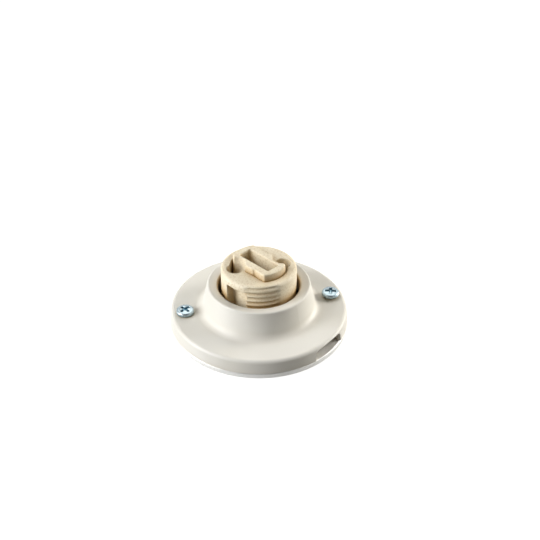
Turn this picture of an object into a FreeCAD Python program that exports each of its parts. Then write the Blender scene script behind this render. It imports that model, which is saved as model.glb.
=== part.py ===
"""Ceramic G9 lamp holder on a round rosette, as a parametric document.

Frame: millimetres, +Z up and out of the wall, origin at the centre of the
mounting face, +X along the lamp slot.  The cover screws, the socket screws
and the bracket lie on one line, the screw line, turned from +X.
"""
import FreeCAD, Part
import math
import os
import Sketcher
from FreeCAD import Placement, Rotation, Vector

DRIVING_SIZES = [
    # base plate
    ("plate_radius", 33.8),
    ("plate_thick", 2.0),
    ("plate_edge_round", 0.5),
    ("wall_slot_width", 4.5),
    ("wall_slot_travel", 4.0),
    ("wall_slot_offset", 24.0),
    ("cable_hole_radius", 5.5),
    ("cable_hole_offset", 20.5),
    ("cable_hole_angle", 196.0),
    # cover
    ("cover_height", 17.4),
    ("flange_top", 7.1),
    ("flange_edge_round", 1.4),
    ("wall_draft", 0.5),
    ("wall_width", 3.5),
    ("flange_wall", 2.5),
    ("collar_foot_radius", 21.6),
    ("collar_foot_round", 3.0),
    ("collar_top_radius", 19.1),
    ("collar_lip_round", 0.7),
    ("collar_dish", 0.5),
    ("cavity_shoulder_radius", 20.0),
    ("bore_depth", 6.4),
    ("bore_gap", 1.35),
    ("notch_width", 13.8),
    ("notch_height", 3.5),
    ("notch_round", 1.2),
    ("notch_angle", 5.3),
    ("notch_flare", 1.2),
    ("notch_flare_angle", 40.0),
    # cover screws and their nuts
    ("screw_line_angle", 56.0),
    ("cover_screw_offset", 28.0),
    ("cover_screw_radius", 1.75),
    ("cover_head_radius", 3.3),
    ("cover_head_rim", 0.8),
    ("cover_head_height", 2.4),
    ("cover_recess_span", 4.4),
    ("cover_recess_depth", 1.5),
    ("screw_hole_gap", 0.4),
    ("screw_stand_left", 0.3),
    ("screw_stand_right", 0.9),
    ("screw_turn_left", 2.0),
    ("screw_turn_right", 40.0),
    ("nut_flange_radius", 3.8),
    ("nut_flange_thick", 0.8),
    ("nut_spigot_radius", 2.8),
    ("boss_wall", 2.3),
    ("thread_fit", 0.05),
    ("part_gap", 0.3),
    ("recess_arm_share", 0.14),
    ("recess_taper", -8.0),
    ("shank_tip_share", 0.6),
    # socket shell
    ("shell_radius", 14.0),
    ("shell_height", 16.7),
    ("shell_edge_round", 1.3),
    ("shell_floor", 3.0),
    ("shell_foot_level", 8.0),
    ("shell_foot_chamfer", 0.5),
    ("window_width", 8.4),
    ("window_offset", 1.6),
    ("window_depth", 3.6),
    ("window_drop", 2.8),
    ("thread_pitch", 2.0),
    ("thread_depth", 1.0),
    ("thread_crest_half", 0.72),
    ("thread_root_half", 0.2),
    ("thread_first_drop", 1.1),
    ("thread_start_angle", -69.0),
    ("thread_sweep", 59.0),
    ("thread_turns", 5),
    # socket core
    ("core_rise", 2.7),
    ("core_radius", 10.1),
    ("core_half_width", 5.7),
    ("core_tip_half", 4.6),
    ("core_tip_facet", 0.3),
    ("core_gap", 0.25),
    ("core_end_gap", 0.5),
    ("side_groove_start", 2.8),
    ("side_groove_width", 1.6),
    ("side_groove_depth", 0.4),
    ("core_foot_inset", 0.2),
    ("core_foot_height", 1.5),
    ("core_floor", 2.5),
    ("core_edge_chamfer", 0.25),
    ("lamp_slot_length", 14.8),
    ("lamp_slot_width", 5.4),
    ("lamp_slot_round", 0.5),
    ("slot_wall", 0.8),
    # socket screws
    ("fixing_offset", 8.8),
    ("fixing_screw_radius", 1.5),
    ("fixing_head_radius", 2.75),
    ("fixing_head_rim", 0.9),
    ("fixing_head_height", 2.0),
    ("fixing_recess_span", 3.4),
    ("fixing_recess_depth", 1.2),
    ("fixing_screw_length", 7.0),
    ("well_gap", 0.35),
    # contacts and terminals
    ("contact_width", 3.0),
    ("contact_thick", 0.4),
    ("contact_offset", 4.5),
    ("contact_drop", 6.4),
    ("contact_bend_radius", 0.9),
    ("contact_belly", 1.1),
    ("contact_belly_drop", 3.4),
    ("contact_foot_gap", 0.2),
    ("contact_tail_length", 4.5),
    ("slit_gap", 0.1),
    ("terminal_length", 5.5),
    ("terminal_width", 5.0),
    ("terminal_height", 5.0),
    ("wire_bore_radius", 1.25),
    ("wire_bore_inset", 2.0),
    ("clamp_screw_radius", 1.25),
    ("clamp_head_radius", 2.1),
    ("clamp_head_height", 1.4),
    ("clamp_slot_width", 0.6),
    ("clamp_slot_depth", 0.7),
    ("clamp_slot_overrun", 1.0),
    # bracket and its rivets
    ("bracket_thick", 1.5),
    ("bracket_width", 10.0),
    ("bracket_waist", 4.4),
    ("bracket_waist_length", 8.0),
    ("bracket_half_span", 15.0),
    ("bracket_foot_end", 23.5),
    ("bracket_bend", 0.5),
    ("rivet_offset", 18.6),
    ("rivet_radius", 1.5),
    ("rivet_head_radius", 2.5),
    ("rivet_head_height", 0.6),
    ("rivet_sink_radius", 2.4),
    ("rivet_sink_depth", 0.9),
    # insulation and earth
    ("insulator_radius", 12.9),
    ("insulator_thick", 0.6),
    ("earth_offset", 16.5),
    ("earth_angle", 116.0),
    ("earth_screw_radius", 1.75),
    ("earth_head_radius", 2.9),
    ("earth_head_rim", 0.7),
    ("earth_head_height", 1.9),
    ("earth_recess_span", 3.4),
    ("earth_recess_depth", 1.1),
    ("earth_washer_radius", 3.4),
    ("earth_washer_thick", 0.6),
]

document = FreeCAD.newDocument("lamp_holder")
size = document.addObject("Spreadsheet::Sheet", "size")
sub_parts = []


# ---------------------------------------------------------------- helpers

def fill_sheet():
    """Write every driving size into the sheet under its own name."""
    for row, (alias, number) in enumerate(DRIVING_SIZES, start=1):
        size.set(f"A{row}", alias)
        size.set(f"B{row}", str(number))
        size.setAlias(f"B{row}", alias)
    document.recompute()


def value(formula):
    """Number that a formula over the sheet gives."""
    result = size.evalExpression(str(formula))
    return float(getattr(result, "Value", result))


def new_body(name):
    """Empty body that becomes one sub-part."""
    body = document.addObject("PartDesign::Body", name)
    body.Label = name
    sub_parts.append(body)
    return body


def origin_feature(body, role):
    """Plane or axis of the body's own origin."""
    for feature in body.Origin.OriginFeatures:
        if feature.Role == role:
            return feature
    raise ValueError(role)


def new_sketch(body, name, role, level="0", turn="0"):
    """Sketch on an origin plane, lifted and turned about the plane's normal."""
    sketch = body.newObject("Sketcher::SketchObject", name)
    sketch.AttachmentSupport = [(origin_feature(body, role), "")]
    sketch.MapMode = "FlatFace"
    sketch.AttachmentOffset = Placement(Vector(0, 0, 1), Rotation(Vector(0, 0, 1), 1))
    sketch.setExpression("AttachmentOffset.Base.z", level)
    sketch.setExpression("AttachmentOffset.Rotation.Angle", turn)
    return sketch


def pin_point(sketch, edge, end, across, up):
    """Tie one end of an edge to its distances from the sketch's origin."""
    for kind, formula in (("DistanceX", across), ("DistanceY", up)):
        index = sketch.addConstraint(
            Sketcher.Constraint(kind, -1, 1, edge, end, value(formula)))
        sketch.setExpression(f"Constraints[{index}]", formula)


def arc_between(start, finish, radius):
    """Arc to the left of the chord for a positive radius, to its right for a negative one."""
    chord = finish - start
    rise = math.sqrt(max(radius * radius - chord.Length ** 2 / 4, 0))
    side = Vector(-chord.y, chord.x, 0).normalize() * (1 if radius > 0 else -1)
    centre = (start + finish) * 0.5 + side * rise
    middle = centre - side * abs(radius)
    return Part.Arc(start, middle, finish)


def draw_outline(sketch, corners):
    """Closed outline; a corner's third entry is the radius of the arc that leaves it."""
    points = [Vector(value(corner[0]), value(corner[1]), 0) for corner in corners]
    edges = []
    for index, corner in enumerate(corners):
        start = points[index]
        finish = points[(index + 1) % len(points)]
        if len(corner) == 3:
            arc = arc_between(start, finish, value(corner[2]))
            edge = sketch.addGeometry(arc, False)
            ends = (1, 2)
            if (sketch.getPoint(edge, 1) - start).Length > 1e-6:
                ends = (2, 1)
        else:
            edge = sketch.addGeometry(Part.LineSegment(start, finish), False)
            ends = (1, 2)
        edges.append((edge, ends))
    for index, (edge, ends) in enumerate(edges):
        next_edge, next_ends = edges[(index + 1) % len(edges)]
        sketch.addConstraint(
            Sketcher.Constraint("Coincident", edge, ends[1], next_edge, next_ends[0]))
    for corner, (edge, ends) in zip(corners, edges):
        pin_point(sketch, edge, ends[0], corner[0], corner[1])
        if len(corner) == 3:
            index = sketch.addConstraint(
                Sketcher.Constraint("Radius", edge, abs(value(corner[2]))))
            sketch.setExpression(f"Constraints[{index}]", f"abs({corner[2]})")


def draw_circle(sketch, across, up, radius):
    """Circle with its centre tied to the sketch's origin."""
    centre = Vector(value(across), value(up), 0)
    edge = sketch.addGeometry(Part.Circle(centre, Vector(0, 0, 1), value(radius)), False)
    pin_point(sketch, edge, 3, across, up)
    index = sketch.addConstraint(Sketcher.Constraint("Radius", edge, value(radius)))
    sketch.setExpression(f"Constraints[{index}]", radius)


def draw_rectangle(sketch, left, right, low, high):
    """Rectangle between four formulas."""
    draw_outline(sketch, [(left, low), (right, low), (right, high), (left, high)])


def draw_slot(sketch, across, up, half_travel, radius):
    """Round-ended slot that runs along the sketch's first axis."""
    near = f"{across} - ({half_travel})"
    far = f"{across} + ({half_travel})"
    draw_outline(sketch, [
        (near, f"{up} - ({radius})"),
        (far, f"{up} - ({radius})", radius),
        (f"{far} + ({radius})", up, radius),
        (far, f"{up} + ({radius})"),
        (near, f"{up} + ({radius})", radius),
        (f"{near} - ({radius})", up, radius),
    ])


def check_change(body, feature, grows):
    """Recompute and make sure that the feature added or removed material."""
    before = body.Shape.Volume if body.Tip and body.Shape and not body.Shape.isNull() else 0
    document.recompute()
    change = feature.Shape.Volume - before
    if (change > 0) != grows or abs(change) < 1e-6:
        raise RuntimeError(f"{body.Label}.{feature.Name} changed the volume by {change}")
    return feature


def pad(body, sketch, length, midplane=False, backward=False):
    """Material raised from a sketch."""
    feature = body.newObject("PartDesign::Pad", f"{sketch.Name}_pad")
    feature.Profile = sketch
    feature.Midplane = midplane
    feature.Reversed = backward
    feature.setExpression("Length", length)
    return check_change(body, feature, True)


def pocket(body, sketch, length, midplane=False, backward=False, taper=None):
    """Material cut away from a sketch, against its normal unless backward."""
    feature = body.newObject("PartDesign::Pocket", f"{sketch.Name}_cut")
    feature.Profile = sketch
    feature.Midplane = midplane
    feature.Reversed = backward
    feature.setExpression("Length", length)
    if taper:
        feature.setExpression("TaperAngle", taper)
    return check_change(body, feature, False)


def revolve(body, sketch):
    """Full turn of a profile about the sketch's upright axis."""
    feature = body.newObject("PartDesign::Revolution", f"{sketch.Name}_turn")
    feature.Profile = sketch
    feature.ReferenceAxis = (sketch, ["V_Axis"])
    feature.Angle = 360
    return check_change(body, feature, True)


def edges_where(feature, test):
    """Names of the feature's edges that pass a test."""
    names = []
    for number, edge in enumerate(feature.Shape.Edges, start=1):
        if test(edge):
            names.append(f"Edge{number}")
    if not names:
        raise RuntimeError(f"no edge of {feature.Name} passes")
    return names


def round_edges(body, feature, name, test, radius):
    """Rounding along the edges that pass a test."""
    rounding = body.newObject("PartDesign::Fillet", name)
    rounding.Base = (feature, edges_where(feature, test))
    rounding.setExpression("Radius", radius)
    document.recompute()
    return rounding


def bevel_edges(body, feature, name, test, width):
    """Chamfer along the edges that pass a test."""
    bevel = body.newObject("PartDesign::Chamfer", name)
    bevel.Base = (feature, edges_where(feature, test))
    bevel.setExpression("Size", width)
    document.recompute()
    return bevel


def ring_edge(radius, level):
    """Test for a full circle about the axis of the body."""
    wanted_radius = value(radius)
    wanted_level = value(level)

    def test(edge):
        curve = edge.Curve
        if not isinstance(curve, Part.Circle):
            return False
        centred = math.hypot(curve.Center.x, curve.Center.y) < 0.01
        right_size = abs(curve.Radius - wanted_radius) < 0.01
        return centred and right_size and abs(curve.Center.z - wanted_level) < 0.01

    return test


def at_level(level, reach=None):
    """Test for an edge that lies wholly at one level, inside a reach."""
    wanted = value(level)
    limit = value(reach) if reach else 1e6

    def test(edge):
        box = edge.BoundBox
        flat = abs(box.ZMin - wanted) < 0.01 and abs(box.ZMax - wanted) < 0.01
        inside = max(abs(box.XMin), abs(box.XMax), abs(box.YMin), abs(box.YMax)) < limit
        return flat and inside

    return test


def along(offset, angle, other="0"):
    """Formulas of a point at an offset along a direction, and a step across it."""
    across = f"({offset}) * cos({angle} * 1deg) - ({other}) * sin({angle} * 1deg)"
    up = f"({offset}) * sin({angle} * 1deg) + ({other}) * cos({angle} * 1deg)"
    return across, up


def place(body, across, up, level, turn="0"):
    """Stand a body at a point, turned about the upright."""
    body.Placement = Placement(Vector(0, 0, 0), Rotation(Vector(0, 0, 1), 1))
    body.setExpression("Placement.Base.x", across)
    body.setExpression("Placement.Base.y", up)
    body.setExpression("Placement.Base.z", level)
    body.setExpression("Placement.Rotation.Angle", turn)


# ---------------------------------------------------------------- levels and places

WELL_PAST = 3  # a cut that leaves the material runs on by this many of its own sizes
PLATE_TOP = "size.plate_thick"
CEILING = "size.flange_top - size.flange_wall"
BORE_RADIUS = "size.shell_radius + size.bore_gap"
BORE_FOOT = "size.cover_height - size.bore_depth"
CAVITY_RADIUS = "size.plate_radius - size.wall_width"
NUT_TOP = "size.plate_thick + size.nut_flange_thick"
SHELL_FOOT = "size.shell_foot_level"
SHELL_TOP = "size.shell_foot_level + size.shell_height"
FLOOR_TOP = "size.shell_foot_level + size.shell_floor"
SEAT_LEVEL = f"{FLOOR_TOP} + size.core_foot_height"
CORE_TOP = f"{SHELL_TOP} + size.core_rise"
CORE_SLOT_FLOOR = f"{FLOOR_TOP} + size.core_floor"
FIXING_X, FIXING_Y = along("size.fixing_offset", "size.screw_line_angle")
WELL_RADIUS = "(size.fixing_head_radius + size.well_gap)"
BACK_LEAF = "size.lamp_slot_width / 2"
TAIL_TOP = f"{CORE_TOP} - size.contact_drop - size.contact_bend_radius"
TAIL_END = f"{SHELL_FOOT} - size.contact_tail_length"
TERMINAL_NEAR = "size.contact_offset - size.contact_width / 2"
EARTH_X, EARTH_Y = along("size.earth_offset", "size.earth_angle")


# ---------------------------------------------------------------- base plate and cover

def make_base_plate():
    """Steel disc with the wall slots, the cable hole and the seats of nuts and rivets."""
    body = new_body("base_plate")
    disc = new_sketch(body, "plate_disc", "XY_Plane")
    draw_circle(disc, "0", "0", "size.plate_radius")
    pad(body, disc, PLATE_TOP)

    holes = new_sketch(body, "plate_holes", "XY_Plane", turn="size.screw_line_angle")
    for side in ("", "-"):
        draw_circle(holes, f"{side}size.cover_screw_offset", "0", "size.nut_spigot_radius")
        draw_circle(holes, f"{side}size.rivet_offset", "0", "size.rivet_radius")
    pocket(body, holes, PLATE_TOP, backward=True)

    slots = new_sketch(body, "plate_wall_slots", "XY_Plane", turn="90")
    for side in ("", "-"):
        draw_slot(slots, f"{side}size.wall_slot_offset", "0",
                  "size.wall_slot_travel / 2", "size.wall_slot_width / 2")
    pocket(body, slots, PLATE_TOP, backward=True)

    openings = new_sketch(body, "plate_openings", "XY_Plane")
    cable_x, cable_y = along("size.cable_hole_offset", "size.cable_hole_angle")
    draw_circle(openings, cable_x, cable_y, "size.cable_hole_radius")
    draw_circle(openings, EARTH_X, EARTH_Y, "size.earth_screw_radius + size.thread_fit")
    pocket(body, openings, PLATE_TOP, backward=True)

    for side, sign in (("left", "-"), ("right", "")):
        sketch = new_sketch(body, f"plate_sink_{side}", "XY_Plane", turn="size.screw_line_angle")
        draw_circle(sketch, f"{sign}size.rivet_offset", "0", "size.rivet_sink_radius")
        shape = pocket(body, sketch, "size.rivet_sink_depth", backward=True)
    rim = ring_edge("size.plate_radius", PLATE_TOP)
    round_edges(body, shape, "plate_rim_round", rim, "size.plate_edge_round")


def make_cover():
    """Glazed porcelain rosette: flat flange, drafted wall and conical collar."""
    body = new_body("cover")
    profile = new_sketch(body, "cover_profile", "XZ_Plane")
    edge_radius = "size.flange_edge_round"
    top_edge = f"size.plate_radius - size.wall_draft - {edge_radius}"
    draw_outline(profile, [
        (CAVITY_RADIUS, PLATE_TOP),
        ("size.plate_radius", PLATE_TOP),
        ("size.plate_radius - size.wall_draft", f"size.flange_top - {edge_radius}", edge_radius),
        (top_edge, "size.flange_top"),
        ("size.collar_foot_radius", "size.flange_top"),
        ("size.collar_top_radius", "size.cover_height"),
        (BORE_RADIUS, "size.cover_height - size.collar_dish"),
        (BORE_RADIUS, BORE_FOOT),
        ("size.cavity_shoulder_radius", CEILING),
        (CAVITY_RADIUS, CEILING),
    ])
    shape = revolve(body, profile)
    lip = ring_edge("size.collar_top_radius", "size.cover_height")
    mouth = ring_edge(BORE_RADIUS, "size.cover_height - size.collar_dish")
    shape = round_edges(body, shape, "collar_lip_round",
                        lambda edge: lip(edge) or mouth(edge), "size.collar_lip_round")
    foot = ring_edge("size.collar_foot_radius", "size.flange_top")
    round_edges(body, shape, "collar_foot_round", foot, "size.collar_foot_round")

    bosses = new_sketch(body, "cover_bosses", "XY_Plane", PLATE_TOP, "size.screw_line_angle")
    reliefs = new_sketch(body, "cover_reliefs", "XY_Plane", PLATE_TOP, "size.screw_line_angle")
    holes = new_sketch(body, "cover_screw_holes", "XY_Plane", PLATE_TOP, "size.screw_line_angle")
    for side in ("", "-"):
        place_x = f"{side}size.cover_screw_offset"
        draw_circle(bosses, place_x, "0", "size.cover_screw_radius + size.boss_wall")
        draw_circle(reliefs, place_x, "0", "size.nut_flange_radius + size.part_gap")
        draw_circle(holes, place_x, "0", "size.cover_screw_radius + size.screw_hole_gap")
    pad(body, bosses, f"size.flange_top - size.flange_wall / 2 - {PLATE_TOP}")
    pocket(body, reliefs, "size.nut_flange_thick + size.part_gap", backward=True)
    pocket(body, holes, "size.flange_top", backward=True)

    cut_cable_notch(body)


def new_notch_sketch(body, name, distance):
    """Arched notch outline on an upright plane that faces out along the notch."""
    notch = body.newObject("Sketcher::SketchObject", name)
    notch.AttachmentSupport = [(origin_feature(body, "YZ_Plane"), "")]
    notch.MapMode = "FlatFace"
    notch.AttachmentOffset = Placement(Vector(1, 0, 1), Rotation(Vector(0, 1, 0), 1))
    notch.setExpression("AttachmentOffset.Base.x", f"({distance}) * sin(size.notch_angle * 1deg)")
    notch.setExpression("AttachmentOffset.Base.z", f"({distance}) * cos(size.notch_angle * 1deg)")
    notch.setExpression("AttachmentOffset.Rotation.Angle", "size.notch_angle")
    side = "size.notch_width / 2"
    corner = "size.notch_round"
    roof = f"{PLATE_TOP} + size.notch_height"
    below = f"{PLATE_TOP} - size.part_gap"
    draw_outline(notch, [
        (f"-{side}", below),
        (side, below),
        (side, f"{roof} - {corner}", corner),
        (f"{side} - {corner}", roof),
        (f"-({side} - {corner})", roof, corner),
        (f"-{side}", f"{roof} - {corner}"),
    ])
    return notch


def cut_cable_notch(body):
    """Arched opening through the wall of the cover, down to the plate, with a flared mouth."""
    passage = new_notch_sketch(body, "cable_notch", f"{CAVITY_RADIUS} - size.notch_round")
    pocket(body, passage, f"{WELL_PAST} * size.wall_width", backward=True)
    mouth = new_notch_sketch(body, "notch_mouth", "size.plate_radius - size.wall_draft - size.notch_flare")
    pocket(body, mouth, f"{WELL_PAST} * size.notch_flare", backward=True,
           taper="size.notch_flare_angle")


def make_press_nut(side, sign):
    """Round nut pressed into the plate, threaded for a cover screw."""
    body = new_body(f"press_nut_{side}")
    profile = new_sketch(body, f"nut_{side}_profile", "XZ_Plane")
    bore = "size.cover_screw_radius + size.thread_fit"
    draw_outline(profile, [
        (bore, "0"),
        ("size.nut_spigot_radius", "0"),
        ("size.nut_spigot_radius", PLATE_TOP),
        ("size.nut_flange_radius", PLATE_TOP),
        ("size.nut_flange_radius", NUT_TOP),
        (bore, NUT_TOP),
    ])
    revolve(body, profile)
    across, up = along(f"{sign}size.cover_screw_offset", "size.screw_line_angle")
    place(body, across, up, "0")


def make_pan_screw(name, kind, shank, turn_name=None):
    """Pan-head screw with a cross recess, its bearing face at its own zero level."""
    body = new_body(name)
    profile = new_sketch(body, f"{name}_profile", "XZ_Plane")
    radius = f"size.{kind}_screw_radius"
    head = f"size.{kind}_head_radius"
    rim = f"size.{kind}_head_rim"
    height = f"size.{kind}_head_height"
    dome = f"({head} * {head} + ({height} - {rim}) * ({height} - {rim})) / (2 * ({height} - {rim}))"
    draw_outline(profile, [
        ("0", f"-({shank})"),
        (f"{radius} * size.shank_tip_share", f"-({shank})"),
        (radius, f"-({shank}) + {radius} * size.shank_tip_share"),
        (radius, "0"),
        (head, "0"),
        (head, rim, dome),
        ("0", height),
    ])
    revolve(body, profile)
    span = f"size.{kind}_recess_span / 2"
    arm = f"size.{kind}_recess_span * size.recess_arm_share"
    recess = new_sketch(body, f"{name}_recess", "XY_Plane", height)
    draw_outline(recess, [
        (span, f"-{arm}"), (span, arm), (arm, arm), (arm, span),
        (f"-{arm}", span), (f"-{arm}", arm), (f"-{span}", arm), (f"-{span}", f"-{arm}"),
        (f"-{arm}", f"-{arm}"), (f"-{arm}", f"-{span}"), (arm, f"-{span}"), (arm, f"-{arm}"),
    ])
    pocket(body, recess, f"size.{kind}_recess_depth", taper="size.recess_taper")
    return body


def make_cover_screws():
    """Two zinc-plated pan-head screws through the flange, turned as they stand."""
    for side, sign in (("left", "-"), ("right", "")):
        stand = f"size.screw_stand_{side}"
        shank = f"size.flange_top + {stand}"
        body = make_pan_screw(f"cover_screw_{side}", "cover", shank)
        across, up = along(f"{sign}size.cover_screw_offset", "size.screw_line_angle")
        place(body, across, up, shank, f"size.screw_turn_{side}")


# ---------------------------------------------------------------- socket

def make_socket_shell():
    """Steatite shell: round-edged drum with the core opening, windows and a part thread."""
    body = new_body("socket_shell")
    drum = new_sketch(body, "shell_drum", "XY_Plane", SHELL_FOOT)
    draw_circle(drum, "0", "0", "size.shell_radius")
    shape = pad(body, drum, "size.shell_height")
    crown = ring_edge("size.shell_radius", SHELL_TOP)
    shape = round_edges(body, shape, "shell_crown_round", crown, "size.shell_edge_round")
    foot = ring_edge("size.shell_radius", SHELL_FOOT)
    bevel_edges(body, shape, "shell_foot_bevel", foot, "size.shell_foot_chamfer")

    opening = new_sketch(body, "core_opening", "XY_Plane", FLOOR_TOP)
    reach = "(size.core_radius + size.core_end_gap)"
    half = "(size.core_half_width + size.core_gap)"
    chord = f"sqrt({reach} * {reach} - {half} * {half})"
    toward = (f"(({reach} * {reach} + size.fixing_offset * size.fixing_offset"
              f" - {WELL_RADIUS} * {WELL_RADIUS}) / (2 * size.fixing_offset))")
    beside = f"-sqrt({reach} * {reach} - {toward} * {toward})"
    meet_x, meet_y = along(toward, "size.screw_line_angle", beside)
    draw_outline(opening, [
        (f"-({FIXING_X})", f"-{half}"),
        (chord, f"-{half}", reach),
        (meet_x, meet_y),
        (FIXING_X, half),
        (f"-{chord}", half, reach),
        (f"-({meet_x})", f"-({meet_y})"),
    ])
    pocket(body, opening, "size.shell_height", backward=True)

    wells = new_sketch(body, "fixing_wells", "XY_Plane", SEAT_LEVEL, "size.screw_line_angle")
    holes = new_sketch(body, "fixing_holes", "XY_Plane", SHELL_FOOT, "size.screw_line_angle")
    for side in ("", "-"):
        draw_circle(wells, f"{side}size.fixing_offset", "0", WELL_RADIUS)
        draw_circle(holes, f"{side}size.fixing_offset", "0", "size.fixing_screw_radius + size.part_gap")
    pocket(body, wells, "size.shell_height", backward=True)
    pocket(body, holes, "size.shell_height", backward=True)

    windows = new_sketch(body, "side_windows", "XY_Plane", SHELL_FOOT)
    near = "(size.window_offset - size.window_width / 2)"
    far = "(size.window_offset + size.window_width / 2)"
    inner = "(size.shell_radius - size.window_depth)"
    outer = "(size.shell_radius + size.window_depth)"
    draw_rectangle(windows, near, far, f"-{outer}", f"-{inner}")
    draw_rectangle(windows, f"-{far}", f"-{near}", inner, outer)
    pocket(body, windows, "size.shell_height - size.window_drop", backward=True)

    slits = new_sketch(body, "shell_tail_slits", "XY_Plane", SHELL_FOOT)
    draw_tail_slits(slits)
    pocket(body, slits, "size.shell_floor", backward=True)
    cut_thread(body)


def draw_tail_slits(sketch):
    """The two narrow slits that the contact tails pass through."""
    near = "size.contact_offset - size.contact_width / 2 - size.slit_gap"
    far = "size.contact_offset + size.contact_width / 2 + size.slit_gap"
    inner = f"{BACK_LEAF} - size.contact_thick - size.slit_gap"
    outer = f"{BACK_LEAF} + size.slit_gap"
    draw_rectangle(sketch, near, far, f"-({outer})", f"-({inner})")
    draw_rectangle(sketch, f"-({far})", f"-({near})", inner, outer)


def cut_thread(body):
    """Part thread for a shade ring: one single-start helix cut in two opposite sectors."""
    for side, half_turn in (("front", 0), ("rear", 1)):
        groove = body.newObject("Sketcher::SketchObject", f"thread_{side}_profile")
        groove.AttachmentSupport = [(origin_feature(body, "XZ_Plane"), "")]
        groove.MapMode = "FlatFace"
        groove.AttachmentOffset = Placement(Vector(0, 0, 0), Rotation(Vector(0, 1, 0), 1))
        groove.setExpression("AttachmentOffset.Rotation.Angle",
                             f"size.thread_start_angle + {180 * half_turn}")
        centre = (f"{SHELL_TOP} - size.thread_first_drop"
                  f" - size.thread_pitch * (size.thread_turns - 1 + {half_turn} / 2)")
        root = "size.shell_radius - size.thread_depth"
        outside = "size.shell_radius + size.thread_depth"
        flank = "(size.thread_crest_half - size.thread_root_half)"
        spread = f"size.thread_root_half + 2 * {flank}"
        draw_outline(groove, [
            (root, f"{centre} - size.thread_root_half"),
            (outside, f"{centre} - ({spread})"),
            (outside, f"{centre} + {spread}"),
            (root, f"{centre} + size.thread_root_half"),
        ])
        cut = body.newObject("PartDesign::SubtractiveHelix", f"thread_{side}_cut")
        cut.Profile = groove
        cut.ReferenceAxis = (origin_feature(body, "Z_Axis"), [""])
        cut.Mode = "pitch-height-angle"
        cut.setExpression("Pitch", "size.thread_pitch")
        cut.setExpression("Height", "size.thread_pitch * size.thread_sweep / 360")
        check_change(body, cut, False)
        rows = body.newObject("PartDesign::LinearPattern", f"thread_{side}_rows")
        rows.Originals = [cut]
        rows.Direction = (origin_feature(body, "Z_Axis"), [""])
        rows.setExpression("Occurrences", "size.thread_turns")
        rows.setExpression("Length", "size.thread_pitch * (size.thread_turns - 1)")
        body.Tip = rows
        document.recompute()


def make_socket_core():
    """Steatite core: slotted bar with end lobes, hollowed beside the lamp slot."""
    body = new_body("socket_core")
    foot_outline = new_sketch(body, "core_foot", "XY_Plane", FLOOR_TOP)
    foot_half = "(size.core_half_width - size.core_foot_inset)"
    foot_chord = f"sqrt(size.core_radius * size.core_radius - {foot_half} * {foot_half})"
    draw_outline(foot_outline, [
        (f"-{foot_chord}", f"-{foot_half}"),
        (foot_chord, f"-{foot_half}", "size.core_radius"),
        (foot_chord, foot_half),
        (f"-{foot_chord}", foot_half, "size.core_radius"),
    ])
    pad(body, foot_outline, "size.core_foot_height")

    outline = new_sketch(body, "core_outline", "XY_Plane", SEAT_LEVEL)
    half = "size.core_half_width"
    chord = f"sqrt(size.core_radius * size.core_radius - {half} * {half})"
    wall = "(size.lamp_slot_width / 2 + size.slot_wall)"
    scoop = f"({FIXING_Y} - {wall})"
    rise = f"({FIXING_Y} - {half})"
    scoop_end = f"({FIXING_X} - sqrt({scoop} * {scoop} - {rise} * {rise}))"
    facet = "(size.core_tip_half + size.core_tip_facet)"
    facet_rise = f"({FIXING_Y} - {facet})"
    scoop_start = f"({FIXING_X} + sqrt({scoop} * {scoop} - {facet_rise} * {facet_rise}))"
    tip = "sqrt(size.core_radius * size.core_radius - size.core_tip_half * size.core_tip_half)"
    groove_end = "(size.side_groove_start + size.side_groove_width)"
    groove_half = f"({half} - size.side_groove_depth)"
    one_side = [
        (f"-{tip}", "-size.core_tip_half"),
        (f"-{scoop_start}", f"-{facet}", f"-{scoop}"),
        (f"-({FIXING_X})", f"-{wall}", f"-{scoop}"),
        (f"-{scoop_end}", f"-{half}"),
        ("size.side_groove_start", f"-{half}"),
        ("size.side_groove_start", f"-{groove_half}"),
        (groove_end, f"-{groove_half}"),
        (groove_end, f"-{half}"),
        (chord, f"-{half}", "size.core_radius"),
    ]
    other_side = [(f"-({corner[0]})", f"-({corner[1]})", *corner[2:]) for corner in one_side]
    draw_outline(outline, one_side + other_side)
    shape = pad(body, outline, f"{CORE_TOP} - ({SEAT_LEVEL})")
    shape = bevel_edges(body, shape, "core_top_bevel", at_level(CORE_TOP), "size.core_edge_chamfer")

    slot = new_sketch(body, "lamp_slot", "XY_Plane", CORE_SLOT_FLOOR)
    long_half = "size.lamp_slot_length / 2"
    wide_half = "size.lamp_slot_width / 2"
    corner = "size.lamp_slot_round"
    draw_outline(slot, [
        (f"-({long_half} - {corner})", f"-({wide_half})"),
        (f"{long_half} - {corner}", f"-({wide_half})", corner),
        (long_half, f"-({wide_half} - {corner})"),
        (long_half, f"{wide_half} - {corner}", corner),
        (f"{long_half} - {corner}", wide_half),
        (f"-({long_half} - {corner})", wide_half, corner),
        (f"-({long_half})", f"{wide_half} - {corner}"),
        (f"-({long_half})", f"-({wide_half} - {corner})", corner),
    ])
    shape = pocket(body, slot, "size.shell_height", backward=True)
    slits = new_sketch(body, "core_tail_slits", "XY_Plane", FLOOR_TOP)
    draw_tail_slits(slits)
    shape = pocket(body, slits, "size.core_floor", backward=True)
    rim = at_level(CORE_TOP, "size.lamp_slot_length / 2 + size.core_edge_chamfer / 2")
    bevel_edges(body, shape, "lamp_slot_bevel", rim, "size.core_edge_chamfer")


def make_fixing_screws():
    """Two screws deep in the wells that clamp shell and core to the bracket."""
    for side, sign in (("front", "-"), ("rear", "")):
        body = make_pan_screw(f"socket_screw_{side}", "fixing", "size.fixing_screw_length")
        across, up = along(f"{sign}size.fixing_offset", "size.screw_line_angle")
        place(body, across, up, SEAT_LEVEL, "size.screw_line_angle")


# ---------------------------------------------------------------- contacts and terminals

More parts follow.
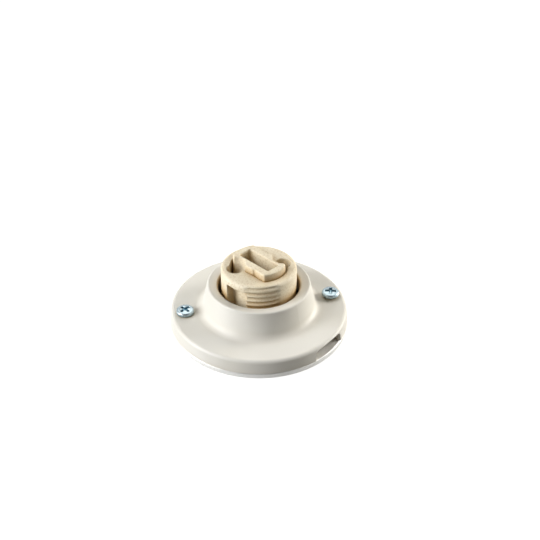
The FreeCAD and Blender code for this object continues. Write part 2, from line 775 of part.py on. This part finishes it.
def make_contact(side, half_turn):
    """Hairpin contact strip on one wall of the lamp slot, with its tail through both floors."""
    body = new_body(f"contact_spring_{side}")
    profile = new_sketch(body, f"contact_{side}_profile", "YZ_Plane",
                         "size.contact_offset")
    bend = "size.contact_bend_radius"
    thick = "size.contact_thick"
    front = f"-({BACK_LEAF}) + 2 * {bend}"
    belly = f"{front} + size.contact_belly"
    belly_level = f"{TAIL_TOP} - size.contact_belly_drop"
    lip_level = f"{CORE_SLOT_FLOOR} + size.contact_foot_gap"
    draw_outline(profile, [
        (f"-({BACK_LEAF})", TAIL_END),
        (f"-({BACK_LEAF}) + {thick}", TAIL_END),
        (f"-({BACK_LEAF}) + {thick}", TAIL_TOP, f"-({bend} - {thick})"),
        (f"-({BACK_LEAF}) + {bend}", f"{TAIL_TOP} + {bend} - {thick}", f"-({bend} - {thick})"),
        (f"{front} - {thick}", TAIL_TOP),
        (f"{belly} - {thick}", belly_level),
        (f"{front} - {thick}", lip_level),
        (front, lip_level),
        (belly, belly_level),
        (front, TAIL_TOP, bend),
        (f"-({BACK_LEAF}) + {bend}", f"{TAIL_TOP} + {bend}", bend),
        (f"-({BACK_LEAF})", TAIL_TOP),
    ])
    pad(body, profile, "size.contact_width", midplane=True)
    place(body, "0", "0", "0", f"{180 * half_turn}")


def make_terminal(side, half_turn):
    """Brass block under the shell, beside the tail, with a wire bore and a clamp screw."""
    body = new_body(f"terminal_{side}")
    block = new_sketch(body, f"terminal_{side}_block", "XY_Plane",
                       f"{SHELL_FOOT} - size.terminal_height")
    far = f"{TERMINAL_NEAR} + size.terminal_width"
    draw_rectangle(block, TERMINAL_NEAR, far,
                   f"-({BACK_LEAF}) - size.terminal_length", f"-({BACK_LEAF})")
    pad(body, block, "size.terminal_height")
    middle = f"{SHELL_FOOT} - size.terminal_height / 2"
    bore = new_sketch(body, f"terminal_{side}_bore", "XZ_Plane")
    draw_circle(bore, f"{TERMINAL_NEAR} + size.wire_bore_inset", middle, "size.wire_bore_radius")
    pocket(body, bore, f"{WELL_PAST} * size.terminal_length * 2", midplane=True)
    tap = new_sketch(body, f"terminal_{side}_tap", "YZ_Plane",
                     f"{TERMINAL_NEAR} + size.wire_bore_inset")
    clamp_y = f"-({BACK_LEAF}) - size.terminal_length / 2"
    draw_circle(tap, clamp_y, middle, "size.clamp_screw_radius + size.thread_fit")
    pocket(body, tap, "size.terminal_width", backward=True)
    place(body, "0", "0", "0", f"{180 * half_turn}")

    screw = new_body(f"terminal_screw_{side}")
    shank_sketch = new_sketch(screw, f"clamp_{side}_shank", "YZ_Plane",
                              f"{TERMINAL_NEAR} + size.wire_bore_inset + size.wire_bore_radius / 2")
    draw_circle(shank_sketch, clamp_y, middle, "size.clamp_screw_radius")
    pad(screw, shank_sketch,
        "size.terminal_width - size.wire_bore_inset - size.wire_bore_radius / 2")
    head_sketch = new_sketch(screw, f"clamp_{side}_head", "YZ_Plane", far)
    draw_circle(head_sketch, clamp_y, middle, "size.clamp_head_radius")
    head = pad(screw, head_sketch, "size.clamp_head_height")
    slot_sketch = new_sketch(screw, f"clamp_{side}_slot", "YZ_Plane",
                             f"{far} + size.clamp_head_height")
    draw_rectangle(slot_sketch, f"{clamp_y} - size.clamp_head_radius - size.clamp_slot_overrun",
                   f"{clamp_y} + size.clamp_head_radius + size.clamp_slot_overrun",
                   f"{middle} - size.clamp_slot_width / 2",
                   f"{middle} + size.clamp_slot_width / 2")
    pocket(screw, slot_sketch, "size.clamp_slot_depth")
    place(screw, "0", "0", "0", f"{180 * half_turn}")


# ---------------------------------------------------------------- bracket and plate fittings

def make_bracket():
    """Folded steel strap that lifts the socket off the plate."""
    body = new_body("socket_bracket")
    profile = new_sketch(body, "bracket_profile", "XZ_Plane")
    thick = "size.bracket_thick"
    inner = "size.bracket_bend"
    outer = f"({inner} + {thick})"
    top = SHELL_FOOT
    leg = "size.bracket_half_span"
    right_side = [
        (f"size.bracket_foot_end", PLATE_TOP),
        (f"size.bracket_foot_end", f"{PLATE_TOP} + {thick}"),
        (f"{leg} + {inner}", f"{PLATE_TOP} + {thick}", f"-{inner}"),
        (leg, f"{PLATE_TOP} + {thick} + {inner}"),
        (leg, f"{top} - {outer}", outer),
        (f"{leg} - {outer}", top),
    ]
    left_side = [
        (f"-({leg} - {outer})", top, outer),
        (f"-({leg})", f"{top} - {outer}"),
        (f"-({leg})", f"{PLATE_TOP} + {thick} + {inner}", f"-{inner}"),
        (f"-({leg} + {inner})", f"{PLATE_TOP} + {thick}"),
        (f"-size.bracket_foot_end", f"{PLATE_TOP} + {thick}"),
        (f"-size.bracket_foot_end", PLATE_TOP),
    ]
    under_side = [
        (f"-({leg} + {inner})", PLATE_TOP, outer),
        (f"-({leg} - {thick})", f"{PLATE_TOP} + {outer}"),
        (f"-({leg} - {thick})", f"{top} - {outer}", f"-{inner}"),
        (f"-({leg} - {outer})", f"{top} - {thick}"),
        (f"{leg} - {outer}", f"{top} - {thick}", f"-{inner}"),
        (f"{leg} - {thick}", f"{top} - {outer}"),
        (f"{leg} - {thick}", f"{PLATE_TOP} + {outer}", outer),
        (f"{leg} + {inner}", PLATE_TOP),
    ]
    draw_outline(profile, right_side + left_side + under_side)
    pad(body, profile, "size.bracket_width", midplane=True)

    waist = new_sketch(body, "bracket_waist", "XY_Plane", top)
    long_half = "size.bracket_waist_length / 2"
    slope = "(size.bracket_width - size.bracket_waist) / 2"
    outside = "size.bracket_width"
    for side in ("", "-"):
        draw_outline(waist, [
            (f"-({long_half})", f"{side}(size.bracket_waist / 2)"),
            (long_half, f"{side}(size.bracket_waist / 2)"),
            (f"{long_half} + {slope}", f"{side}{outside}"),
            (f"-({long_half} + {slope})", f"{side}{outside}"),
        ])
    pocket(body, waist, "size.bracket_thick")
    taps = new_sketch(body, "bracket_holes", "XY_Plane", top)
    for side in ("", "-"):
        draw_circle(taps, f"{side}size.fixing_offset", "0", "size.fixing_screw_radius + size.thread_fit")
        draw_circle(taps, f"{side}size.rivet_offset", "0", "size.rivet_radius")
    pocket(body, taps, top)
    place(body, "0", "0", "0", "size.screw_line_angle")


def make_rivet(side, sign):
    """Rivet between bracket foot and plate, set flush below."""
    body = new_body(f"bracket_rivet_{side}")
    profile = new_sketch(body, f"rivet_{side}_profile", "XZ_Plane")
    foot_top = f"{PLATE_TOP} + size.bracket_thick"
    draw_outline(profile, [
        ("0", "0"),
        ("size.rivet_sink_radius", "0"),
        ("size.rivet_sink_radius", "size.rivet_sink_depth"),
        ("size.rivet_radius", "size.rivet_sink_depth"),
        ("size.rivet_radius", foot_top),
        ("size.rivet_head_radius", foot_top),
        ("size.rivet_head_radius - size.rivet_head_height", f"{foot_top} + size.rivet_head_height"),
        ("0", f"{foot_top} + size.rivet_head_height"),
    ])
    revolve(body, profile)
    across, up = along(f"{sign}size.rivet_offset", "size.screw_line_angle")
    place(body, across, up, "0")


def make_insulating_disc():
    """Fibre disc on the plate under the live parts."""
    body = new_body("insulating_disc")
    disc = new_sketch(body, "insulator_disc", "XY_Plane", PLATE_TOP)
    draw_circle(disc, "0", "0", "size.insulator_radius")
    pad(body, disc, "size.insulator_thick")


def make_earth_terminal():
    """Earth screw with its clamping washer on the plate."""
    washer = new_body("earth_washer")
    ring = new_sketch(washer, "earth_ring", "XY_Plane")
    draw_circle(ring, "0", "0", "size.earth_washer_radius")
    draw_circle(ring, "0", "0", "size.earth_screw_radius + size.part_gap")
    pad(washer, ring, "size.earth_washer_thick")
    place(washer, EARTH_X, EARTH_Y, PLATE_TOP)
    under_head = f"{PLATE_TOP} + size.earth_washer_thick"
    screw = make_pan_screw("earth_screw", "earth", under_head)
    place(screw, EARTH_X, EARTH_Y, under_head)


# ---------------------------------------------------------------- build

def check_document():
    """Stop if any object failed or any sub-part is not one sound solid."""
    for item in document.Objects:
        if "Invalid" in item.State or "Error" in item.State:
            raise RuntimeError(f"{item.Name} is {item.State}")
    for body in sub_parts:
        if body.Shape.isNull() or not body.Shape.isValid():
            raise RuntimeError(f"{body.Label} has no valid shape")
        if len(body.Shape.Solids) != 1:
            raise RuntimeError(f"{body.Label} has {len(body.Shape.Solids)} solids")


def write_parts():
    """One STEP file for each sub-part."""
    os.makedirs("parts", exist_ok=True)
    for body in sub_parts:
        body.Shape.exportStep(os.path.join("parts", f"{body.Label}.step"))
        print(f"{body.Label}: {body.Shape.Volume:.1f} mm3")


def main():
    """Build the whole lamp holder and write its parts."""
    fill_sheet()
    make_base_plate()
    make_cover()
    for side, sign in (("left", "-"), ("right", "")):
        make_press_nut(side, sign)
    make_cover_screws()
    make_socket_shell()
    make_socket_core()
    make_fixing_screws()
    for side, half_turn in (("right", 0), ("left", 1)):
        make_contact(side, half_turn)
        make_terminal(side, half_turn)
    make_bracket()
    for side, sign in (("left", "-"), ("right", "")):
        make_rivet(side, sign)
    make_insulating_disc()
    make_earth_terminal()
    document.recompute()
    check_document()
    write_parts()


main()
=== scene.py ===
import math

import bpy
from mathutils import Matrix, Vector


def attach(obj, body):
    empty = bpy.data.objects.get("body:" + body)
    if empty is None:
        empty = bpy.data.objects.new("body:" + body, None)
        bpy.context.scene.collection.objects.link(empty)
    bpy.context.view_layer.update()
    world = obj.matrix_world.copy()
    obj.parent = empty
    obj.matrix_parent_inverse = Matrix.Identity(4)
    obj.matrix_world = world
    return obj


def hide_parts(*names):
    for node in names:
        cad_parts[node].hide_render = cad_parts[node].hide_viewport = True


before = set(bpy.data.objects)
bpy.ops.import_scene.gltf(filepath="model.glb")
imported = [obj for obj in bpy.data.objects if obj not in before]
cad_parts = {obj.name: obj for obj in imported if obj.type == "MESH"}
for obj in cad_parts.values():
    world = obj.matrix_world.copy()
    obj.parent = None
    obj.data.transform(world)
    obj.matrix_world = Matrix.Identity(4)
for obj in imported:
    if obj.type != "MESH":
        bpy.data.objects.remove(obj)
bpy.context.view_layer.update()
MM = 0.001

# The camera aims at the middle of the back face. The picture's right-hand side points along
# VIEW_AZIMUTH. Angles are in degrees, distances in metres, lens and sensor in millimetres.
VIEW_AZIMUTH = 45.0
VIEW_ELEVATION = 38.17
VIEW_DISTANCE = 0.300
LENS = 51.94
SENSOR_WIDTH = 36.0
SHIFT_X = 0.0207
SHIFT_Y = 0.0905
CLIP_START = 0.01
CLIP_END = 50.0

# Directions of the picture on the ground, and the way from the object to the camera.
TURN = math.radians(VIEW_AZIMUTH)
RISE = math.radians(VIEW_ELEVATION)
RIGHT = Vector((math.cos(TURN), math.sin(TURN), 0))
AWAY = Vector((-RIGHT.y, RIGHT.x, 0))
UP = Vector((0, 0, 1))
TO_CAMERA = -AWAY * math.cos(RISE) + UP * math.sin(RISE)

# The square lamps: name, place as right, away and up of the object, side in metres, watts, tint.
COOL = (0.985, 0.99, 1.0)
WARM = (1.0, 0.97, 0.915)
WHITE = (1.0, 1.0, 1.0)
LAMPS = (
    ("key_left", (-0.43, -0.157, 0.386), 0.25, 2.00, COOL),
    ("low_left", (-0.56, -0.10, 0.14), 0.30, 2.05, COOL),
    ("front_left", (-0.40, -0.38, 0.20), 0.30, 0.50, WHITE),
    ("right", (0.45, 0.12, 0.35), 0.25, 0.80, WARM),
    ("low_right", (0.56, 0.22, 0.12), 0.30, 4.30, WARM),
    ("top_back", (0.0, 0.35, 0.50), 0.40, 0.75, WARM),
)
LAMP_TARGET = Vector((0, 0, 0.01))

# The world: a dim room that lights the object, plain white for the camera, and for gloss a
# white that darkens as the reflected ray turns to the camera's side (cosines of the angle).
ROOM_COLOUR = (1.0, 0.99, 0.97)
ROOM_STRENGTH = 0.02
SEEN_STRENGTH = 1.0
DARK_FROM, DARK_TO = 0.60, 0.90
MIRROR_BRIGHT, MIRROR_DARK = 0.90, 0.10

# The floor, in metres. It glows white beyond PLATE_RADIUS, in millimetres, and stays dark
# under the plate.
FLOOR_SIZE = 6.0
FLOOR_DROP = 0.00005
FLOOR_COLOUR = (0.25, 0.24, 0.22)
FLOOR_GLOW = 0.92
PLATE_RADIUS = 33.7

# Colours of the finishes, each from its darker to its lighter tone, then its marks, and the
# painted shade that darkens its hollows.
PORCELAIN_TONES = (0.730, 0.708, 0.640), (0.770, 0.752, 0.694)
PORCELAIN_SPECK = (0.34, 0.27, 0.18)
SPECK_STRENGTH = 0.45
PORCELAIN_SHADE = (0.50, 0.38, 0.22)
STEATITE_TONES = (0.800, 0.705, 0.520), (0.860, 0.780, 0.610)
STEATITE_GRAIN = (0.60, 0.47, 0.29)
STEATITE_SHADE = (0.47, 0.29, 0.09)
ZINC_TONES = (0.80, 0.80, 0.78), (0.88, 0.88, 0.86)
ZINC_SCUFF = (0.42, 0.42, 0.41)
FIBRE_TONES = (0.33, 0.28, 0.22), (0.42, 0.37, 0.30)
# Painted shade for the hollows of brass and contact metal.
HOLLOW_PAINTED_SHADE = (0.12, 0.11, 0.10)
CERAMIC_IOR = 1.45
ZINC_METALLIC = 0.30

# The plated metals: tones, painted shade in hollows, range of roughness, grain and depth of the
# dents in millimetres.
METALS = {
    "zinc_bright": {
        "tones": ((0.34, 0.43, 0.47), (0.48, 0.57, 0.61)),
        # A blue-green painted shade in the hollows of the bright zinc.
        "shade": (0.10, 0.25, 0.33),
        "rough": (0.24, 0.34),
        "grain": 1.5,
        "depth": 0.004,
    },
    "brass": {
        "tones": ((0.66, 0.47, 0.20), (0.78, 0.58, 0.28)),
        "shade": HOLLOW_PAINTED_SHADE,
        "rough": (0.24, 0.36),
        "grain": 2.0,
        "depth": 0.003,
    },
    "contact_metal": {
        "tones": ((0.58, 0.56, 0.52), (0.70, 0.68, 0.64)),
        "shade": HOLLOW_PAINTED_SHADE,
        "rough": (0.22, 0.34),
        "grain": 2.0,
        "depth": 0.003,
    },
}

# The part of a noise that a fade spreads out. The narrower one gives more contrast.
NARROW = (0.35, 0.65)
WIDE = (0.3, 0.7)

# A spot is full out to this part of its radius. The step sets apart the cells that get one.
SPOT_CORE = 0.5
SPOT_STEP = 0.02

# Share of open sky from which a place counts as open, and the rays that find it.
OPEN_SKY = 0.95
SKY_SAMPLES = 8

# Sockets of the node that mixes colours.
MIX_FIRST, MIX_SECOND, MIX_RESULT = 6, 7, 2

# The worn copies: mesh size in millimetres, passes of smoothing and its strength, and how far
# the ends keep inside the solid.
SCREW_GRAIN, SCREW_PASSES = 0.10, 2
SHELL_GRAIN, SHELL_PASSES = 0.26, 5
CORE_GRAIN, CORE_PASSES = 0.20, 6
WEAR = 0.5
END_MARGIN = 0.01

# The shell and its part thread, in millimetres and degrees. The thread lies in two sectors,
# half a turn apart, and keeps THREAD_SHARE of its depth.
SHELL_RADIUS = 14.0
SHELL_TOP = 24.7
SHELL_ROUND = 1.3
ROUND_SHARE = 0.93
THREAD_START = -69.0
THREAD_SWEEP = 59.0
THREAD_MARGIN = 3.0
THREAD_DEPTH = 1.0
THREAD_SLACK = 0.2
THREAD_FADE = 12.0
THREAD_SHARE = 0.75
HALF_TURN = 180
QUARTER_TURN = 90

# The heads of the cover screws, in millimetres.
HEAD_RADIUS = 3.3
HEAD_HEIGHT = 2.4
HEAD_RIM = 0.8
HEAD_CROWN = 1.7
HEAD_FALL = 0.25
HEAD_FLAT = 2.4
HEAD_SLACK = 0.1


def make_camera():
    """The camera at the reference view."""
    data = bpy.data.cameras.new("camera")
    camera = bpy.data.objects.new("camera", data)
    bpy.context.scene.collection.objects.link(camera)
    camera.location = TO_CAMERA * VIEW_DISTANCE
    camera.rotation_mode = "QUATERNION"
    camera.rotation_quaternion = (-TO_CAMERA).to_track_quat("-Z", "Y")
    data.sensor_width = SENSOR_WIDTH
    data.lens = LENS
    data.shift_x = SHIFT_X
    data.shift_y = SHIFT_Y
    data.clip_start = CLIP_START
    data.clip_end = CLIP_END
    bpy.context.scene.camera = camera


def make_lamps():
    """Soft boxes on the left, on the right and above, turned to the object."""
    for name, (right, away, up), side, watts, tint in LAMPS:
        data = bpy.data.lights.new(name, "AREA")
        data.shape = "RECTANGLE"
        data.size = side
        data.size_y = side
        data.energy = watts
        data.color = tint
        light = bpy.data.objects.new(name, data)
        bpy.context.scene.collection.objects.link(light)
        light.location = RIGHT * right + AWAY * away + UP * up
        aim = LAMP_TARGET - light.location
        light.rotation_mode = "QUATERNION"
        light.rotation_quaternion = aim.to_track_quat("-Z", "Y")


class Tree:
    """The emptied node tree of a material or world, with helpers that add nodes to it."""

    def __init__(self, owner):
        owner.use_nodes = True
        self.nodes, self.links = owner.node_tree.nodes, owner.node_tree.links
        self.nodes.clear()

    def add(self, kind, operation=None, **values):
        """A node whose sockets have these values, with _ for the spaces in their names."""
        node = self.nodes.new("ShaderNode" + kind)
        if operation:
            node.operation = operation
        for name, value in values.items():
            self.feed(node.inputs[name.replace("_", " ")], value)
        return node

    def feed(self, socket, item):
        """Joins an output, or a node's first one, to a socket, or writes a value into it."""
        if isinstance(item, bpy.types.Node):
            item = item.outputs[0]
        if isinstance(item, bpy.types.NodeSocket):
            self.links.new(item, socket)
        elif socket.type == "RGBA":
            socket.default_value = (*item, 1)
        else:
            socket.default_value = item

    def fade(self, source, low, high, to_low=0, to_high=1):
        """The source mapped from one range to another, held at both ends."""
        ranges = {"From_Min": low, "From_Max": high, "To_Min": to_low, "To_Max": to_high}
        return self.add("MapRange", Value=source, **ranges).outputs["Result"]

    def join(self, kind, *items, operation=None):
        """A node whose sockets are fed with these items, in their order."""
        node = self.add(kind, operation)
        for socket, item in zip(node.inputs, items):
            self.feed(socket, item)
        return node

    def maths(self, operation, first, second):
        """Two values, or a value and a number, joined by one operation."""
        return self.join("Math", first, second, operation=operation)


def make_world():
    """A dim room, seen white by the camera and darker on the camera's side by gloss."""
    world = bpy.data.worlds.new("studio")
    bpy.context.scene.world = world
    tree = Tree(world)
    ray = tree.add("TexCoord").outputs["Generated"]
    toward = tree.join("VectorMath", ray, TO_CAMERA, operation="DOT_PRODUCT").outputs["Value"]
    strength = tree.fade(toward, DARK_FROM, DARK_TO, MIRROR_BRIGHT, MIRROR_DARK)
    room = tree.add("Background", Color=ROOM_COLOUR, Strength=ROOM_STRENGTH)
    mirrored = tree.add("Background", Color=WHITE, Strength=strength)
    seen = tree.add("Background", Color=WHITE, Strength=SEEN_STRENGTH)
    rays = tree.add("LightPath").outputs
    shine = tree.join("MixShader", rays["Is Glossy Ray"], room, mirrored)
    tree.add("OutputWorld", Surface=tree.join("MixShader", rays["Is Camera Ray"], shine, seen))


def make_floor():
    """A plain floor that keeps the shadow, white from above and clear from below."""
    bpy.ops.mesh.primitive_plane_add(size=FLOOR_SIZE, location=(0, 0, -FLOOR_DROP))
    floor = bpy.context.object
    floor.name = "floor"
    material = bpy.data.materials.new("floor_white")
    tree = Tree(material)
    rays = tree.add("LightPath").outputs
    place = tree.add("NewGeometry").outputs
    shown = tree.maths("MAXIMUM", rays["Is Camera Ray"], rays["Is Glossy Ray"])
    reach = tree.join("VectorMath", place["Position"], operation="LENGTH").outputs["Value"]
    beside = tree.maths("GREATER_THAN", reach, PLATE_RADIUS * MM)
    strength = tree.maths("MULTIPLY", tree.maths("MULTIPLY", shown, FLOOR_GLOW), beside)
    matt = tree.add("BsdfDiffuse", Color=FLOOR_COLOUR)
    glow = tree.add("Emission", Strength=strength)
    above = tree.join("AddShader", matt, glow)
    below = tree.add("BsdfTransparent")
    whole = tree.join("MixShader", place["Backfacing"], above, below)
    tree.add("OutputMaterial", Surface=whole)
    floor.data.materials.append(material)


class Finish(Tree):
    """A material with one principled shader. Lengths are in metres."""

    def __init__(self, name, **values):
        self.material = bpy.data.materials.new(name)
        super().__init__(self.material)
        self.shader = self.add("BsdfPrincipled", **values)
        self.add("OutputMaterial", Surface=self.shader)
        self.place = self.add("TexCoord").outputs["Object"]

    def noise(self, size, detail=3.0, rough=0.5, stretch=None):
        """Noise whose features are about size long."""
        place = self.place
        if stretch:
            place = self.add("Mapping", Vector=place, Scale=stretch).outputs["Vector"]
        values = {"Scale": 1.0 / size, "Detail": detail, "Roughness": rough}
        return self.add("TexNoise", Vector=place, **values).outputs["Fac"]

    def spots(self, spacing, radius, share):
        """A spot in this share of the cells, 1 on the spot and 0 beside it."""
        cells = self.add("TexVoronoi", Vector=self.place, Scale=1.0 / spacing).outputs
        edge = radius / spacing
        near = self.fade(cells["Distance"], edge, SPOT_CORE * edge)
        draw = self.add("SeparateColor", Color=cells["Color"]).outputs[0]
        some = self.fade(draw, 1 - share, 1 - share + SPOT_STEP)
        return self.maths("MULTIPLY", near, some)

    def mix(self, factor, first, second):
        """Two colours mixed by a factor."""
        node = self.add("Mix")
        node.data_type = "RGBA"
        self.feed(node.inputs["Factor"], factor)
        self.feed(node.inputs[MIX_FIRST], first)
        self.feed(node.inputs[MIX_SECOND], second)
        return node.outputs[MIX_RESULT]

    def hollow(self, reach, strength, deep=0.25):
        """The mask for painted shade: 0 in the open, and strength where the share of open sky is
        deep or less.
        """
        node = self.add("AmbientOcclusion", Distance=reach)
        node.samples = SKY_SAMPLES
        return self.fade(node.outputs["AO"], deep, OPEN_SKY, strength, 0)

    def bump(self, height, depth, **under):
        """A bump whose full height is depth, on top of another one given as Normal."""
        return self.add("Bump", Height=height, Strength=1.0, Distance=depth, **under)

    def finish(self, colour, roughness, normal):
        """Joins the three to the shader, and gives the material."""
        self.feed(self.shader.inputs["Base Color"], colour)
        self.feed(self.shader.inputs["Roughness"], roughness)
        self.feed(self.shader.inputs["Normal"], normal)
        return self.material


def porcelain():
    """White pressed porcelain under a thin satin glaze, with small specks and painted shade in
    its hollows.
    """
    f = Finish("porcelain_glaze", IOR=CERAMIC_IOR)
    cloudy = f.fade(f.noise(18 * MM, detail=2), *NARROW)
    colour = f.mix(cloudy, *PORCELAIN_TONES)
    specks = f.spots(spacing=5 * MM, radius=0.14 * MM, share=0.25)
    colour = f.mix(f.maths("MULTIPLY", specks, SPECK_STRENGTH), colour, PORCELAIN_SPECK)
    # Painted shade, warm brown, darkens the glaze in its hollows and gaps.
    colour = f.mix(f.hollow(4 * MM, strength=0.80), colour, PORCELAIN_SHADE)
    roughness = f.fade(f.noise(3 * MM), *WIDE, to_low=0.38, to_high=0.50)
    normal = f.bump(f.noise(9 * MM, detail=1), 0.05 * MM)
    normal = f.bump(f.noise(0.9 * MM, detail=2), 0.012 * MM, Normal=normal)
    return f.finish(colour, roughness, normal)


def steatite():
    """Cream unglazed pressed ceramic with a fine grain, and painted shade in its hollows."""
    f = Finish("steatite", IOR=CERAMIC_IOR)
    cloudy = f.fade(f.noise(6 * MM, detail=4), *NARROW)
    colour = f.mix(cloudy, *STEATITE_TONES)
    grain = f.fade(f.noise(0.6 * MM, detail=2), 0.50, 0.70, to_high=0.60)
    colour = f.mix(grain, colour, STEATITE_GRAIN)
    # Painted shade, brown, darkens the ceramic in its hollows and recesses.
    colour = f.mix(f.hollow(4 * MM, strength=0.85, deep=0.40), colour, STEATITE_SHADE)
    roughness = f.fade(f.noise(0.8 * MM, detail=2), *WIDE, to_low=0.50, to_high=0.65)
    normal = f.bump(f.noise(0.6 * MM), 0.09 * MM)
    return f.finish(colour, roughness, normal)


def metal(name, tones, shade, rough, grain, depth):
    """A plated metal whose tone and gloss vary with its grain, with painted shade in its
    hollows.
    """
    f = Finish(name, Metallic=1.0)
    size = grain * MM
    colour = f.mix(f.fade(f.noise(size), *WIDE), *tones)
    # Painted shade darkens the metal in its hollows.
    colour = f.mix(f.hollow(1.2 * MM, strength=0.9), colour, shade)
    roughness = f.fade(f.noise(0.4 * size), *WIDE, *rough)
    normal = f.bump(f.noise(0.25 * MM, detail=2), depth * MM)
    return f.finish(colour, roughness, normal)


def matt_zinc():
    """Dull galvanised steel: bare metal under a pale powdery film."""
    f = Finish("zinc_plate", Metallic=ZINC_METALLIC)
    spangle = f.fade(f.noise(4 * MM), *NARROW)
    colour = f.mix(spangle, *ZINC_TONES)
    scuffs = f.noise(1.2 * MM, rough=0.6, stretch=(1, 9, 1))
    colour = f.mix(f.fade(scuffs, 0.60, 0.72, to_high=0.5), colour, ZINC_SCUFF)
    roughness = f.fade(f.noise(2 * MM), *WIDE, to_low=0.40, to_high=0.55)
    normal = f.bump(f.noise(0.3 * MM, detail=2), 0.006 * MM)
    return f.finish(colour, roughness, normal)


def fibre():
    """Pressed insulating fibre, matt, with short hairs in its surface."""
    f = Finish("fibre")
    hairs = f.noise(0.5 * MM, detail=4, rough=0.6, stretch=(1, 6, 1))
    hairs = f.fade(hairs, *NARROW)
    colour = f.mix(hairs, *FIBRE_TONES)
    roughness = f.fade(f.noise(1 * MM), *WIDE, to_low=0.65, to_high=0.8)
    normal = f.bump(hairs, 0.02 * MM)
    return f.finish(colour, roughness, normal)


def dress(worn):
    """Gives every CAD node and every worn copy the finish that the record names."""
    made = {
        "porcelain_glaze": porcelain(),
        "steatite": steatite(),
        "zinc_plate": matt_zinc(),
        "fibre": fibre(),
    }
    for name, values in METALS.items():
        made[name] = metal(name, **values)
    for node in [*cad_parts.values(), *worn]:
        for slot in node.material_slots:
            slot.material = made[slot.material.name]


def softened(name, grain, passes):
    """A finely meshed copy of a CAD node, its edges worn round and its height kept inside."""
    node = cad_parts[name]
    piece = node.copy()
    piece.data = node.data.copy()
    piece.parent = None
    piece.matrix_world = node.matrix_world
    piece.name = name + "_soft"
    bpy.context.scene.collection.objects.link(piece)
    mesh = piece.modifiers.new("mesh", "REMESH")
    mesh.mode = "VOXEL"
    mesh.voxel_size = grain * MM
    mesh.use_smooth_shade = True
    wear = piece.modifiers.new("wear", "SMOOTH")
    wear.factor = WEAR
    wear.iterations = passes
    depsgraph = bpy.context.evaluated_depsgraph_get()
    shape = bpy.data.meshes.new_from_object(piece.evaluated_get(depsgraph))
    levels = [corner.co.z for corner in node.data.vertices]
    lowest, highest = min(levels) + END_MARGIN * MM, max(levels) - END_MARGIN * MM
    for corner in shape.vertices:
        corner.co.z = min(max(corner.co.z, lowest), highest)
    piece.modifiers.clear()
    piece.data = shape
    return piece


def fade_thread(shape):
    """Makes the thread on the shell shallower, and lets it run out softly at its ends."""
    for corner in shape.vertices:
        across, along, height = corner.co / MM
        reach = math.hypot(across, along)
        turn = (math.degrees(math.atan2(along, across)) - THREAD_START) % HALF_TURN
        if THREAD_SWEEP + THREAD_MARGIN < turn < HALF_TURN - THREAD_MARGIN:
            continue
        over = max(height - (SHELL_TOP - SHELL_ROUND), 0)
        if over > ROUND_SHARE * SHELL_ROUND:
            continue
        wall = SHELL_RADIUS - SHELL_ROUND + math.sqrt(SHELL_ROUND ** 2 - over ** 2)
        cut = wall - reach
        if cut <= 0 or cut > THREAD_DEPTH + THREAD_SLACK:
            continue
        ends = min(turn, THREAD_SWEEP - turn) if turn < QUARTER_TURN else -1
        share = min(max(ends / THREAD_FADE, 0), 1)
        share = THREAD_SHARE * share * share * (3 - 2 * share)
        scale = (wall - cut * share) / reach
        corner.co.x *= scale
        corner.co.y *= scale


def flatten_head(shape):
    """Gives a screw head the low crown and full shoulder of a pan head."""
    foot = max(corner.co.z for corner in shape.vertices) / MM - HEAD_HEIGHT
    crown = [corner.co / MM for corner in shape.vertices if corner.co.z / MM > foot]
    middle_x = (min(place.x for place in crown) + max(place.x for place in crown)) / 2
    middle_y = (min(place.y for place in crown) + max(place.y for place in crown)) / 2
    rise = HEAD_HEIGHT - HEAD_RIM
    ball = (HEAD_RADIUS ** 2 + rise ** 2) / (2 * rise)
    shoulder = HEAD_CROWN - HEAD_FALL - HEAD_RIM
    for corner in shape.vertices:
        place = corner.co / MM
        if place.z - foot < HEAD_RIM - HEAD_SLACK:
            continue
        reach = min(math.hypot(place.x - middle_x, place.y - middle_y), HEAD_RADIUS)
        domed = HEAD_HEIGHT - ball + math.sqrt(ball ** 2 - reach ** 2)
        if reach < HEAD_FLAT:
            flat = HEAD_CROWN - HEAD_FALL * (reach / HEAD_FLAT) ** 2
        else:
            out = (reach - HEAD_FLAT) / (HEAD_RADIUS - HEAD_FLAT)
            flat = HEAD_RIM + shoulder * math.sqrt(max(1 - out ** 2, 0))
        corner.co.z += (flat - domed) * MM


def soften():
    """Worn copies stand in for the unglazed ceramic pieces and the cover screws."""
    worn = []
    for name in ("cover_screw_left", "cover_screw_right"):
        piece = softened(name, SCREW_GRAIN, SCREW_PASSES)
        flatten_head(piece.data)
        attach(piece, "root")
        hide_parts(name)
        worn.append(piece)
    ceramics = (
        ("socket_shell", SHELL_GRAIN, SHELL_PASSES),
        ("socket_core", CORE_GRAIN, CORE_PASSES),
    )
    for name, grain, passes in ceramics:
        piece = softened(name, grain, passes)
        if name == "socket_shell":
            fade_thread(piece.data)
        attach(piece, "root")
        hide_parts(name)
        worn.append(piece)
    return worn


bpy.context.scene.view_settings.view_transform = "Standard"
make_camera()
make_lamps()
make_world()
make_floor()
dress(soften())
